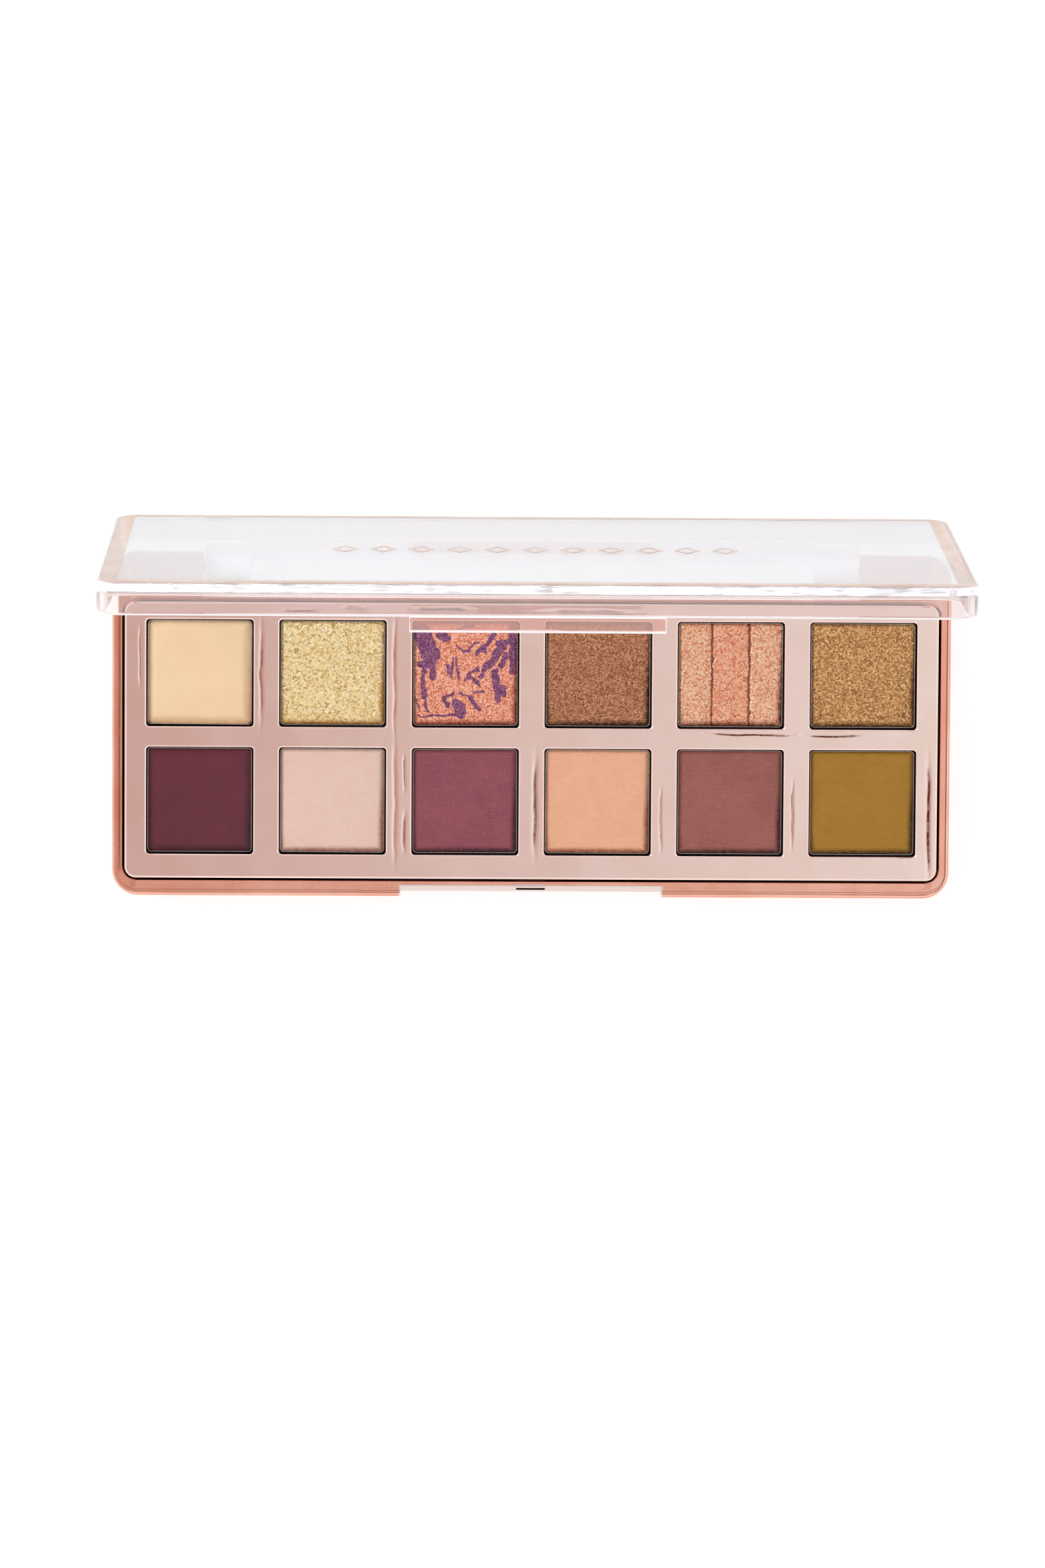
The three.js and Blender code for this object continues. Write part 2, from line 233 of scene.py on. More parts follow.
def linked(name, data):
    """A new object in the scene."""
    obj = bpy.data.objects.new(name, data)
    bpy.context.scene.collection.objects.link(obj)
    return obj


def object_from(name, mesh):
    """Turns a bmesh in millimetres into a smooth-shaded object in metres."""
    bmesh.ops.scale(mesh, vec=(MM, MM, MM), verts=mesh.verts)
    data = bpy.data.meshes.new(name)
    mesh.to_mesh(data)
    mesh.free()
    data.shade_smooth()
    return linked(name, data)


def turned_at(obj, x, y, turn):
    """Moves a mesh drawn at the origin to its place in the palette, turned a little."""
    obj.data.transform(Matrix.Translation((x * MM, y * MM, 0)) @ Matrix.Rotation(turn, 4, "Z"))
    return obj


def loft(name, rings):
    """A closed solid through rings of equal length. Its first ring is its underside."""
    mesh = bmesh.new()
    rows = [[mesh.verts.new(point) for point in points] for points in rings]
    count = len(rows[0])
    for low, high in zip(rows, rows[1:]):
        for i in range(count):
            j = (i + 1) % count
            mesh.faces.new((low[i], low[j], high[j], high[i]))
    mesh.faces.new(list(reversed(rows[0])))
    mesh.faces.new(rows[-1])
    return object_from(name, mesh)


def block(x0, x1, y0, y1, z0, z1):
    corners = [(x0, y0), (x1, y0), (x1, y1), (x0, y1)]
    return loft("tool", [[(x, y, z) for x, y in corners] for z in (z0, z1)])


def prism_x(outline, x0, x1):
    """A prism along X whose section is an anticlockwise outline of (y, z) points."""
    return loft("tool", [[(x, y, z) for y, z in outline] for x in (x0, x1)])


def circle(y, z, radius, sides):
    turns = [2 * math.pi * i / sides for i in range(sides)]
    return [(y + radius * math.cos(a), z + radius * math.sin(a)) for a in turns]


def baked(obj):
    """Applies an object's modifiers to its mesh."""
    graph = bpy.context.evaluated_depsgraph_get()
    data = bpy.data.meshes.new_from_object(obj.evaluated_get(graph))
    obj.modifiers.clear()
    obj.data = data
    return obj


def combine(obj, added=(), removed=()):
    """Joins tools to an object and cuts others from it, and deletes the tools."""
    for tools, operation in ((added, "UNION"), (removed, "DIFFERENCE")):
        for tool in tools:
            modifier = obj.modifiers.new("boolean", "BOOLEAN")
            modifier.operation = operation
            modifier.solver = "EXACT"
            modifier.object = tool
    baked(obj)
    for tool in (*added, *removed):
        bpy.data.objects.remove(tool)
    return obj


def softened(obj, width, segments=3, angle=32):
    """Rounds the sharp edges of a finished solid and lets its flat faces set the shading."""
    bevel = obj.modifiers.new("edges", "BEVEL")
    bevel.width = width * MM
    bevel.segments = segments
    bevel.limit_method = "ANGLE"
    bevel.angle_limit = math.radians(angle)
    bevel.miter_outer = "MITER_ARC"
    bevel.use_clamp_overlap = True
    baked(obj)
    return weighted(obj)


def weighted(obj):
    obj.data.shade_smooth()
    shading = obj.modifiers.new("shading", "WEIGHTED_NORMAL")
    shading.mode = "FACE_AREA"
    shading.weight = 100
    return baked(obj)


# ---- materials ----


def rgb(red, green, blue):
    """An sRGB colour of 0 to 255 as a linear RGBA tuple."""
    def channel(value):
        value /= 255
        return value / 12.92 if value <= 0.04045 else ((value + 0.055) / 1.055) ** 2.4
    return (channel(red), channel(green), channel(blue), 1.0)


class Nodes:
    """Short calls that add nodes to a tree."""

    def __init__(self, tree):
        self.tree = tree

    def add(self, kind, inputs=None, **settings):
        node = self.tree.nodes.new(kind)
        for key, value in settings.items():
            setattr(node, key, value)
        for key, value in (inputs or {}).items():
            self.feed(node.inputs[key], value)
        return node

    def feed(self, socket, value):
        if isinstance(value, bpy.types.NodeSocket):
            self.tree.links.new(value, socket)
        else:
            socket.default_value = value

    def math(self, operation, a, b=0.0):
        inputs = {0: a, 1: b, 2: 0.0}
        return self.add("ShaderNodeMath", inputs, operation=operation).outputs[0]

    def times(self, a, b):
        return self.math("MULTIPLY", a, b)

    def plus(self, a, b):
        return self.math("ADD", a, b)

    def minus(self, a, b):
        return self.math("SUBTRACT", a, b)

    def vector(self, operation, a, b=(0.0, 0.0, 0.0), out="Vector"):
        return self.add("ShaderNodeVectorMath", {0: a, 1: b}, operation=operation).outputs[out]

    def channel(self, vector, axis):
        return self.add("ShaderNodeSeparateXYZ", {0: vector}).outputs[axis]

    def span(self, value, low, high, to_low=0, to_high=1):
        """Takes values from low to high over to another range, and holds the rest at its ends."""
        inputs = {"Value": value, "From Min": low, "From Max": high, "To Min": to_low, "To Max": to_high}
        return self.add("ShaderNodeMapRange", inputs, clamp=True).outputs[0]

    def mix(self, share, first, second):
        node = self.add("ShaderNodeMix", data_type="RGBA")
        self.feed(node.inputs["Factor"], share)
        self.feed(node.inputs["A"], first)
        self.feed(node.inputs["B"], second)
        return next(s for s in node.outputs if s.type == "RGBA")


class Material(Nodes):
    """A procedural material round one Principled shader."""

    def __init__(self, name):
        self.data = bpy.data.materials.new(name)
        self.data.use_nodes = True
        super().__init__(self.data.node_tree)
        self.tree.nodes.clear()
        self.shader = self.add("ShaderNodeBsdfPrincipled")
        self.surface = self.add("ShaderNodeOutputMaterial").inputs["Surface"]
        self.feed(self.surface, self.shader.outputs[0])
        self.place = self.add("ShaderNodeTexCoord").outputs["Object"]

    def set(self, **values):
        """Feeds the shader's sockets, and returns the finished material."""
        for key, value in values.items():
            self.feed(self.shader.inputs[key.replace("_", " ")], value)
        return self.data

    def noise(self, size, detail=2.0, stretch=(1.0, 1.0, 1.0), rough=0.5, place=None, out="Fac"):
        """Noise whose features are about size millimetres across."""
        scaled = self.vector("MULTIPLY", place or self.place, stretch)
        inputs = {"Vector": scaled, "Scale": 1 / (size * MM), "Detail": detail, "Roughness": rough}
        return self.add("ShaderNodeTexNoise", inputs).outputs[out]

    def cells(self, size, out="Color", place=None):
        """Random cells of about size millimetres."""
        inputs = {"Vector": place or self.place, "Scale": 1 / (size * MM)}
        return self.add("ShaderNodeTexVoronoi", inputs).outputs[out]

    def bump(self, height, depth, normal=None):
        """A bump whose full height is depth millimetres."""
        inputs = {"Height": height, "Distance": depth * MM}
        if normal is not None:
            inputs["Normal"] = normal
        return self.add("ShaderNodeBump", inputs).outputs[0]

    def attribute(self, name):
        return self.add("ShaderNodeAttribute", attribute_name=name).outputs["Fac"]

    def along(self, axis):
        """The place along X, Y or Z, in metres."""
        return self.channel(self.place, axis)

    def let_lamps_through(self, colour):
        """Shadow rays pass straight through each face, dimmed by colour."""
        shadow = self.add("ShaderNodeLightPath").outputs["Is Shadow Ray"]
        passing = self.add("ShaderNodeBsdfTransparent", {"Color": colour})
        inputs = {0: shadow, 1: self.shader.outputs[0], 2: passing.outputs[0]}
        self.feed(self.surface, self.add("ShaderNodeMixShader", inputs).outputs[0])


def metallised(name, light, deep, shade_mask, under, sinks=False, thin=None):
    """Vacuum-metallised plastic: a mirror skin with ripple, haze and hairlines.

    Recesses and gaps are painted dark and matte as shade: bare(m) is 1 where this painted shade goes.
    thin(m) is 1 where the tone is painted paler. under is the colour of the painted shade. sinks
    adds the plate's sink marks, with a painted dark brown reflection along them.
    """
    m = Material(name)
    tone = m.mix(m.span(m.noise(9, 3), 0.35, 0.65), light, deep)
    edge = m.add("ShaderNodeNewGeometry").outputs["Pointiness"]
    rubbed = m.times(m.span(edge, 0.53, 0.62, 0, 0.3), m.span(m.noise(0.35, 5), 0.5, 0.7))
    pale = tuple(0.5 + 0.5 * c for c in light[:3]) + (1.0,)
    tone = m.mix(rubbed, tone, pale)
    if thin:
        # the thumb recess is painted a paler tone
        tone = m.mix(thin(m), tone, rgb(221, 202, 194))
    # recesses and gaps are painted dark, matte and without metal, as shade
    painted_shade = shade_mask(m)
    tone = m.mix(painted_shade, tone, under)
    normal = m.bump(m.noise(24, 2), 0.09)
    if sinks:
        height, painted_dark_reflection = sink_marks(m)
        normal = m.bump(height, 0.085, normal)
        # along the sink marks a dark brown reflection is painted into the plating's colour
        patchy = m.span(m.noise(1.2, 3, rough=0.6), 0.35, 0.55, 0.7, 1.0)
        tone = m.mix(m.times(painted_dark_reflection, patchy), tone, rgb(104, 44, 34))
    lines = m.noise(0.9, 3, stretch=(0.06, 1.4, 1.0))
    normal = m.bump(lines, HAIRLINE if sinks else FAINT_HAIRLINE, normal)
    rough = m.plus(m.span(m.noise(3.5, 4), 0.3, 0.7, 0.04, 0.1), m.times(rubbed, 0.2))
    rough = m.plus(rough, m.times(painted_shade, 0.4))
    metal = m.minus(1.0, painted_shade)
    return m.set(Base_Color=tone, Metallic=metal, Roughness=rough, Normal=normal)


def below(m, level, fade=0.12):
    """1 under a height in millimetres, fading to 0 just above it."""
    return m.span(m.along(2), level * MM, (level + fade) * MM, 1, 0)


def beside_middle(m, reach):
    """1 within reach millimetres of the middle plane."""
    return m.math("LESS_THAN", m.math("ABSOLUTE", m.along(0)), reach * MM)


def between(m, front, back, spare):
    """1 from front to back, in millimetres along Y, and a spare width past both."""
    off = m.math("ABSOLUTE", m.minus(m.along(1), (front + back) / 2 * MM))
    return m.math("LESS_THAN", off, ((back - front) / 2 + spare) * MM)


def in_groove(m):
    """1 in the groove that takes the lid's catch, which is painted dark as shade."""
    across = between(m, *(CASING_LOW.y + side for side in GROOVE_SIDES), 0.01)
    return m.times(m.times(beside_middle(m, SLOT_HALF + 0.02), across), below(m, 4.8, 0.02))


def in_recess(m):
    """1 on the thumb recess, whose plating is painted a paler tone."""
    front = m.span(m.along(1), (CASING_LOW.y + 2.25) * MM, (CASING_LOW.y + 2.3) * MM, 1, 0)
    return m.times(m.times(beside_middle(m, RECESS_HALF + 0.3), front), m.minus(1.0, below(m, 4.4)))


def inside_pocket(m):
    """1 on the walls and floor of the casing's pocket, below the plated lip and short of the hinge."""
    _, x1, y0, y1 = pocket_box()
    inside = m.times(beside_middle(m, x1 + 0.1), between(m, y0, y1, 0.1))
    above = m.math("GREATER_THAN", m.along(2), 1.0 * MM)
    forward = m.span(m.along(1), 20 * MM, 22 * MM, 1, 0)
    return m.times(inside, m.times(m.times(above, forward), below(m, 7.9)))


def casing_painted_shade(m):
    """1 where the casing is painted dark as shade: in its pocket and in the catch groove."""
    return m.math("MAXIMUM", inside_pocket(m), in_groove(m))


def offset_mm(m, place, axis, middle):
    """How many millimetres a place is past a middle."""
    return m.minus(m.times(m.channel(place, axis), 1 / MM), middle)


def sink_marks(m):
    """The plate's surface with its sink marks, and where a dark brown reflection is painted along them."""
    wander = 1.1 * MM
    drift = m.vector("MULTIPLY", m.noise(9, 2, out="Color"), (wander, wander, 0.0))
    place = m.vector("SUBTRACT", m.vector("ADD", m.place, drift), (wander / 2, wander / 2, 0.0))
    height, painted_dark_reflection = 1.0, 0.0
    for x, y, half_length, half_width, axis, brown in SINK_MARKS:
        along = m.math("DIVIDE", offset_mm(m, place, axis, (x, y)[axis]), half_length)
        across = m.math("DIVIDE", offset_mm(m, place, 1 - axis, (x, y)[1 - axis]), half_width)
        reach = m.plus(m.times(across, across), m.math("POWER", m.math("ABSOLUTE", along), 5))
        dip = m.math("POWER", NATURAL_BASE, m.times(reach, -1.0))
        height = m.minus(height, dip)
        painted_dark_reflection = m.math("MAXIMUM", painted_dark_reflection, m.span(dip, 0.5, 0.85, 0, brown))
    return height, painted_dark_reflection


def clear_plastic():
    """Polished styrene: clear with a trace of haze, faint flow ripple and a few fine scratches.

    Its outer face is tinted grey where it is seen at a slant, as in the photo.
    """
    m = Material("clear_plastic")
    scratch = m.noise(0.7, 3, stretch=(0.05, 1.0, 0.4))
    normal = m.bump(scratch, 0.0003, m.bump(m.noise(22, 1), 0.006))
    level = lid_level(m)
    frost_and_highlight = frosted_highlight_edge(m, level)
    below_rim = m.span(level, (LID_RIM - 0.1) * MM, LID_RIM * MM, 1, 0)
    in_tab = m.times(below_rim, beside_middle(m, TAB_HALF + 0.5))
    outer_face = m.span(level, (LID_TOP - 0.3) * MM, (LID_TOP - 0.1) * MM)
    slant = m.span(m.add("ShaderNodeLayerWeight").outputs["Facing"], 0.45, 0.75)
    skin = m.times(outer_face, slant)
    ceiling = LID_TOP - LID_PANEL
    wall = m.span(level, (ceiling - 0.3) * MM, (ceiling - 0.1) * MM, 1, 0)
    tone = m.mix(wall, rgb(240, 237, 239), rgb(238, 228, 226))
    # the outer face is painted a grey shade where it is seen at a slant
    tone = m.mix(skin, tone, rgb(157, 160, 168))
    tone = m.mix(in_tab, tone, rgb(222, 188, 180))
    # the frosted edges are painted near-white, partly a painted highlight
    tone = m.mix(frost_and_highlight, tone, rgb(244, 244, 246))
    clear = m.minus(m.span(frost_and_highlight, 0, 1, 0.9, 0.15), m.times(in_tab, 0.12))
    rough = m.plus(m.span(m.noise(6, 4), 0.35, 0.75, 0.0, 0.03), m.times(frost_and_highlight, 0.3))
    m.set(Base_Color=tone, Roughness=rough, Normal=normal, IOR=1.49)
    m.set(Transmission_Weight=clear, Coat_Weight=m.span(wall, 0, 1, 0.65, 0.0))
    m.set(Coat_IOR=1.7, Coat_Roughness=0.02)
    m.let_lamps_through(rgb(240, 241, 243))
    return m.data


def lid_level(m):
    """Height in the closed lid: from the hinge axis along its own up direction."""
    up = (0.0, math.sin(REST_ANGLE), math.cos(REST_ANGLE))
    return m.vector("DOT_PRODUCT", m.vector("SUBTRACT", m.place, tuple(AXIS * MM)), up, out="Value")


def frosted_highlight_edge(m, level):
    """1 on the rim's and tab's ground edges: frosted by the mould, and painted near-white as a highlight.
    """
    foot = (LID_RIM - TAB_DROP) * MM
    low = m.span(level, foot + 0.32 * MM, foot + 0.4 * MM, 1, 0)
    under_rim = m.span(level, LID_RIM * MM, (LID_RIM + 0.05) * MM, 1, 0)
    end = m.minus(beside_middle(m, TAB_HALF + 0.1), beside_middle(m, TAB_HALF - 0.1))
    from_rim = m.math("ABSOLUTE", m.minus(level, (LID_RIM + 0.16) * MM))
    rim = m.span(from_rim, 0.16 * MM, 0.22 * MM, 1, 0)
    return m.math("MAXIMUM", rim, m.math("MAXIMUM", low, m.times(end, under_rim)))


def foil():
    """Hot-stamped rose-gold foil: satin metal, faintly uneven."""
    m = Material("foil_print")
    tone = m.mix(m.span(m.noise(9, 3), 0.35, 0.65), rgb(216, 197, 186), rgb(206, 181, 168))
    rough = m.span(m.noise(2.5, 4), 0.3, 0.7, 0.26, 0.34)
    return m.set(Base_Color=tone, Metallic=1.0, Roughness=rough, Normal=m.bump(m.noise(1.5, 3), 0.001))


def brushed(name, lines, patch, bright, dull, rough, depth):
    """Bare metal whose fine lines run one way. lines is the (size, stretch) of their noise."""
    m = Material(name)
    size, stretch = lines
    fine = m.noise(size, 3, stretch=stretch)
    tone = m.mix(m.noise(patch, 3), rgb(*bright), rgb(*dull))
    m.set(Base_Color=tone, Metallic=1.0, Roughness=m.span(fine, 0.3, 0.7, *rough))
    return m.set(Normal=m.bump(fine, depth))


def pressed_tin():
    lines = (0.25, (1.0, 1.0, 6.0))
    return brushed("pan_tinplate", lines, 4, (214, 212, 208), (172, 170, 168), (0.18, 0.38), 0.004)


def ground_steel():
    lines = (0.2, (8.0, 1.0, 1.0))
    return brushed("pin_steel", lines, 1.5, (200, 202, 206), (160, 162, 168), (0.15, 0.35), 0.003)


def hot_melt():
    m = Material("hot_melt")
    tone = m.mix(m.noise(1.2, 4), rgb(236, 226, 196), rgb(214, 198, 160))
    m.set(Base_Color=tone, Roughness=m.span(m.noise(0.5, 3), 0.3, 0.7, 0.35, 0.6))
    return m.set(Normal=m.bump(m.noise(0.7, 3), 0.05))


def label_paper():
    """Blank coated paper with visible fibre."""
    m = Material("label_paper")
    fibre = m.noise(0.35, 5, stretch=(1.0, 0.35, 1.0), rough=0.7)
    tone = m.mix(m.span(fibre, 0.3, 0.7), rgb(246, 243, 238), rgb(232, 227, 219))
    return m.set(Base_Color=tone, Roughness=m.span(fibre, 0.3, 0.7, 0.6, 0.85), Normal=m.bump(fibre, 0.01))


def painted_edge_shade(m, most, start=0.15):
    """How much the painted edge shade shows: nothing on the flat, and most at the cake's outline."""
    rise = m.span(m.attribute("edge"), start, 0.75, 0, most)
    return m.times(rise, m.span(m.noise(0.7, 3), 0.3, 0.6, 0.5, 1.0))


def cream(name, tint, deep, rim, rough):
    """A poured cream shade: smooth and slightly waxy."""
    m = Material(name)
    tone = m.mix(m.span(m.noise(6, 3), 0.3, 0.7), tint, deep)
    # the rim colour is shade painted along the cake's edges
    tone = m.mix(painted_edge_shade(m, 0.7, 0.1), tone, rim)
    skin = m.noise(0.5, 4)
    m.set(Base_Color=tone, Roughness=m.span(skin, 0.3, 0.7, rough - 0.06, rough + 0.08))
    return m.set(Normal=m.bump(skin, 0.002, m.bump(m.noise(3.0, 2), 0.008)))


def weave(m, pitch):
    """The pressing cloth's print: crossing threads, uneven and mostly along X."""
    wobble = m.vector("MULTIPLY", m.noise(1.6, 3, out="Color"), (0.0004, 0.0004, 0.0))
    place = m.vector("ADD", m.place, wobble)
    turn = 2 * math.pi / (pitch * MM)
    warp = m.math("SINE", m.times(m.channel(place, 0), turn))
    weft = m.math("SINE", m.times(m.channel(place, 1), turn))
    regular = m.times(m.plus(m.times(warp, 0.5), weft), 0.12)
    threads = m.noise(0.34, 2, stretch=(0.16, 1.0, 1.0), rough=0.6)
    across = m.noise(0.34, 2, stretch=(1.0, 0.2, 1.0), rough=0.6)
    uneven = m.plus(m.times(threads, 0.95), m.times(across, 0.55))
    return m.plus(regular, m.minus(uneven, 0.25))


def speckled(m, tone, colour, size, share):
    """Scatters small specks of another colour over a tone, and says where they are."""
    place = m.vector("ADD", m.place, (0.013, 0.007, 0.0))
    picked = m.math("GREATER_THAN", m.channel(m.cells(size, place=place), 0), 1.0 - share)
    near = m.math("LESS_THAN", m.cells(size, out="Distance", place=place), 0.42)
    speck = m.times(picked, near)
    return m.mix(m.times(speck, 0.8), tone, colour), speck


def matte(name, tint, deep, rim, sparkle=None, share=0.0):
    """A pressed matte shade with cloth print and powder grain."""
    m = Material(name)
    grain = m.noise(0.16, 3, rough=0.7)
    cloth = weave(m, 0.46)
    shade = m.plus(m.times(cloth, 0.45), m.times(grain, 0.4))
    shade = m.plus(shade, m.times(m.noise(5.0, 3), 0.3))
    tone = m.mix(m.span(shade, 0.35, 0.8), deep, tint)
    # the rim colour is shade painted along the cake's edges
    tone = m.mix(painted_edge_shade(m, 0.95), tone, rim)
    if sparkle:
        tone, glint = speckled(m, tone, sparkle, 0.28, share)
        m.set(Metallic=m.times(glint, 0.6))
    normal = m.bump(grain, 0.03, m.bump(cloth, 0.022))
    m.set(Base_Color=tone, Roughness=m.span(grain, 0.3, 0.7, 0.78, 0.95), Normal=normal)
    return m.set(Sheen_Weight=0.08, Sheen_Roughness=0.5)


def flake_normal(m, size, tilt):
    """A surface of small flakes, each tilted its own way."""
    centred = m.vector("SUBTRACT", m.cells(size), (0.5, 0.5, 0.5))
    lean = m.vector("MULTIPLY", centred, (tilt, tilt, 0.0))
    normal = m.add("ShaderNodeNewGeometry").outputs["Normal"]
    return m.vector("NORMALIZE", m.vector("ADD", normal, lean))


def flakes(m, size, tones):
    """Each flake's own brightness, from deep to bright."""
    deep, middle, bright = tones
    pick = m.channel(m.cells(size), 2)
    low = m.mix(m.span(pick, 0.0, 0.5), deep, middle)
    return m.mix(m.span(pick, 0.5, 1.0), low, bright)


def shimmer_finish(m, tone, rim, size, tilt, metal):
    # the rim colour is shade painted along the cake's edges
    m.set(Base_Color=m.mix(painted_edge_shade(m, 0.95), tone, rim), Metallic=metal)
    rough = m.span(m.noise(size, 1), 0.3, 0.7, 0.28, 0.46)
    return m.set(Roughness=rough, Normal=flake_normal(m, size, tilt))


def shimmer(name, tones, rim, size, tilt, metal=0.6, specks=None):
    """A pressed shimmer or glitter shade. specks is a (colour, share) of darker flakes."""
    m = Material(name)
    tone = flakes(m, size, tones)
    tone = m.mix(m.span(m.noise(2.2, 3), 0.35, 0.65, 0, 0.35), tone, tones[1])
    if specks:
        tone = speckled(m, tone, specks[0], size * 1.15, specks[1])[0]
    return shimmer_finish(m, tone, rim, size, tilt, metal)


def marbled(name, first, second, rim, size, tilt):
    """Two shimmers pressed together. Each is (deep, middle, bright)."""
    m = Material(name)
    ragged = m.times(m.minus(m.noise(0.45, 3, rough=0.65), 0.5), 0.9)
    share = m.span(m.plus(m.attribute("pattern"), ragged), 0.42, 0.58)
    tone = m.mix(share, flakes(m, size, first), flakes(m, size, second))
    return shimmer_finish(m, tone, rim, size, tilt, m.span(share, 0, 1, 0.55, 0.3))


def striped(name, outer, inner, groove, size, tilt):
    """Three shimmer stripes side by side, with grooves between them painted dark as shade."""
    m = Material(name)
    outside = m.span(m.attribute("pattern"), -0.2, 0.2)
    tone = m.mix(outside, flakes(m, size, inner), flakes(m, size, outer))
    # the grooves between the stripes are painted dark copper as shade
    tone = m.mix(m.span(m.attribute("groove"), 0.25, 0.8, 0, 0.85), tone, groove)
    return shimmer_finish(m, tone, groove, size, tilt, 0.6)


# ---- base ----


def casing():
    """The casing: a rounded shell with a pocket, a hinge bay, two ears and a thumb recess."""
    box = (CASING_LOW.x, CASING_HIGH.x, CASING_LOW.y, CASING_HIGH.y)
    top = CASING_HIGH.z
    pocket = pocket_box()
    corner = INSERT_CORNER + INSERT_GAP
    steps = 16
    lip = 0.18
    outside = list(reversed(rounding(CASING_FOLD, CASING_FOLD, 0.0, 8)))
    outside += rounding(SHOULDER_FOLD[0], top - SHOULDER_FOLD[1], top - SHOULDER_FALL, 10)
    rings = [ring(box, CASING_CORNER, inset, z, steps) for inset, z in outside]
    inside = reversed(chamfer(lip, 0.75 * lip, top))
    rings += [ring(pocket, corner, -inset, z, steps) for inset, z in inside]
    rings += [ring(pocket, corner, 0, CASING_FLOOR, steps)]
    shell = loft("casing_shell", rings)
    return softened(combine(shell, removed=casing_cuts()), 0.14)


def pocket_box():
    low, high = INSERT_LOW, INSERT_HIGH
    return (low.x - INSERT_GAP, high.x + INSERT_GAP, low.y - INSERT_GAP, high.y + INSERT_GAP)


def casing_cuts():
    top = CASING_HIGH.z
    back, front = CASING_HIGH.y, CASING_LOW.y
    bay_y = pocket_box()[3] + BACK_WALL
    bay = block(-BAY_HALF, BAY_HALF, bay_y, back + 9, -1, top + 1)
    first = math.acos((top - AXIS.z) / EAR_ROUND)
    arc = [first + (1.1 - first) * i / 14 for i in range(15)]
    ears = [(AXIS.y + EAR_ROUND * math.sin(a), AXIS.z + EAR_ROUND * math.cos(a)) for a in arc]
    ears = [(ears[0][0], top + 1), *ears, (ears[-1][0], top + 1)]
    recess = [
        (front - 1, top + 1),
        (front - 1, -1),
        (front + 0.85, -1),
        (front + 0.85, 4.6),
        (front + 1.8, 5.3),
        (front + 2.2, top + 1),
    ]
    ramp = [(front, 5.7), (front + 2.6, 5.7), (front + 2.6, top + 1), (front, top + 1)]
    slot = block(-SLOT_HALF, SLOT_HALF, front, pocket_box()[2] + 1, 5.7, 6.9)
    groove = block(-SLOT_HALF, SLOT_HALF, *(front + side for side in GROOVE_SIDES), 4.0, 6)
    half = CASING_HIGH.x + 20
    bore = circle(AXIS.y, AXIS.z, PIN_BORE, 32)
    bores = [prism_x(bore, x0, x1) for x0, x1 in ((BAY_HALF - 1, half), (-half, 1 - BAY_HALF))]
    label_low, label_high = box_mm("underside_label")
    seat = (label_low.x - 0.5, label_high.x + 0.5, label_low.y - 0.5, label_high.y + 0.5)
    recessed = loft("tool", [ring(seat, 2, 0, z, 8) for z in (-1, label_high.z)])
    return [
        bay,
        groove,
        prism_x(list(reversed(ears)), -half, half),
        prism_x(recess, -RECESS_HALF, RECESS_HALF),
        prism_x(ramp, -SLOT_HALF, SLOT_HALF),
        slot,
        *bores,
        recessed,
    ]


def window_centres():
    rows = [GRID_Y + ROW_PITCH / 2, GRID_Y - ROW_PITCH / 2]
    columns = [(i - 2.5) * COLUMN_PITCH for i in range(6)]
    return [(x, y) for y in rows for x in columns]


def square(side, x, y):
    return (x - side / 2, x + side / 2, y - side / 2, y + side / 2)


def insert():
    """The insert: a plate with a rounded edge, a lip round each window and a well below it."""
    box = (INSERT_LOW.x, INSERT_HIGH.x, INSERT_LOW.y, INSERT_HIGH.y)
    top = INSERT_HIGH.z
    underside = top - INSERT_PLATE
    profile = [(0, underside)] + chamfer(0.38, 0.28, top)
    plate = loft("insert_plate", [ring(box, INSERT_CORNER, inset, z, 14) for inset, z in profile])
    wells = []
    windows = []
    for x, y in window_centres():
        outside = square(WINDOW + 2 * WELL_WALL, x, y)
        levels = (INSERT_LOW.z, underside + 0.1)
        wells.append(loft("tool", [ring(outside, WINDOW_CORNER + WELL_WALL, 0, z, 8) for z in levels]))
        hole = square(WINDOW, x, y)
        lip = chamfer(WINDOW_LIP, 0.75 * WINDOW_LIP, top)
        levels = [(0, WELL_FLOOR)] + [(-inset, z) for inset, z in lip] + [(-WINDOW_LIP, top + 1)]
        windows.append(loft("tool", [ring(hole, WINDOW_CORNER, inset, z, 8) for inset, z in levels]))
    return weighted(combine(plate, wells, windows))


def pan(number, x, y, turn):
    """A pan: thin pressed sheet with a rolled rim and a rounded foot."""
    low, high = box_mm(f"pan_{number}")
    box = square(high.x - low.x, 0, 0)
    sheet = PAN_RIM
    foot = list(reversed(rounding(0.35, low.z + 0.35, low.z, 5)))
    arc = np.linspace(0, math.pi, 7)
    rim = [(sheet / 2 * (1 - math.cos(a)), high.z - sheet / 2 * (1 - math.sin(a))) for a in arc]
    inner = [(sheet + 0.02, high.z - 0.6), (sheet + 0.35, low.z + 0.2)]
    rings = [ring(box, PAN_CORNER, inset, z, 8) for inset, z in foot + rim + inner]
    cup = loft(f"pan_sheet_{number}", rings)
    return weighted(turned_at(cup, x, y, turn))


# ---- cakes ----


def edge_grid(half):
    """Grid lines across a cake: close together over the rounded edge, even inside."""
    edge = np.array([0, 0.03, 0.07, 0.12, 0.18, 0.25, 0.33, 0.42, 0.52, 0.65])
    inner = np.arange(0.8, 2 * half - 0.8, CAKE_STEP)
    return np.concatenate([edge, inner, 2 * half - edge[::-1]]) - half


